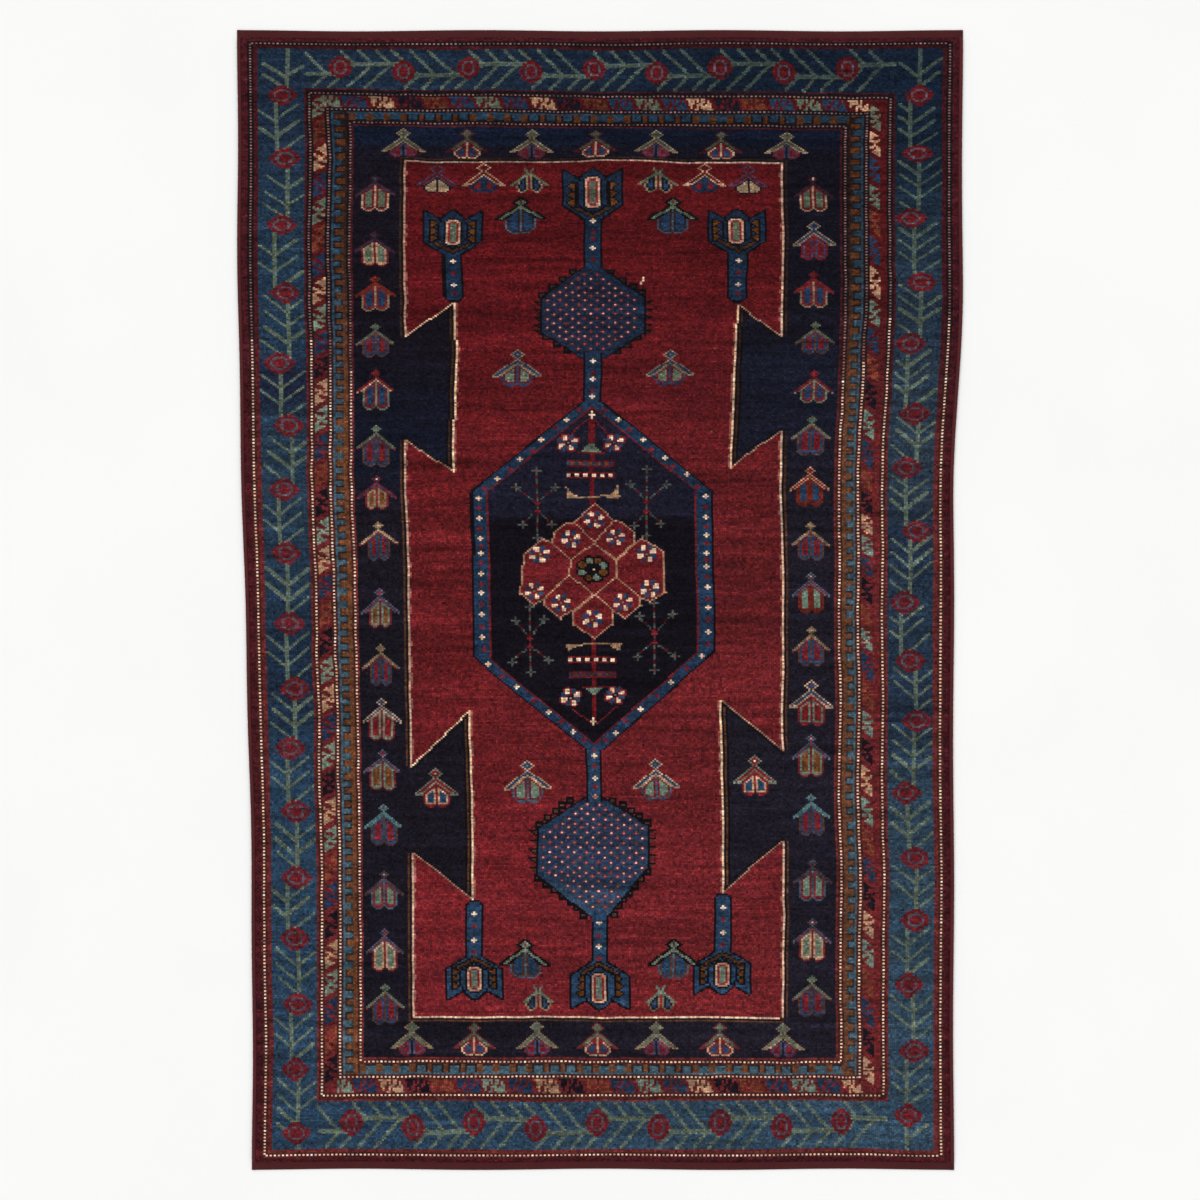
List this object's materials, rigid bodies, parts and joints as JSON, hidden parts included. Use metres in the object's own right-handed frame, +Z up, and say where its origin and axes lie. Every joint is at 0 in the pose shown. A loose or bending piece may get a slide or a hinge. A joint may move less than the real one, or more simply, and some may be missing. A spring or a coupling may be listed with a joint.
{
  "type": "kazak rug",
  "caption": "Hand-knotted wool Kazak rug lying flat, with a hexagonal medallion on a pole and patterned borders.",
  "frame": {"origin": "middle of the underside, on the floor", "axes": "+X across the width, +Y along the length towards the far end, +Z up out of the pile"},
  "size_m": [1.465, 2.3, 0.009],
  "materials": {
    "wool": "matt knotted wool pile in madder red, indigo, navy, brown, ivory and grey-green"
  },
  "bodies": {
    "root": {"rug": "wool"}
  },
  "joints": []
}
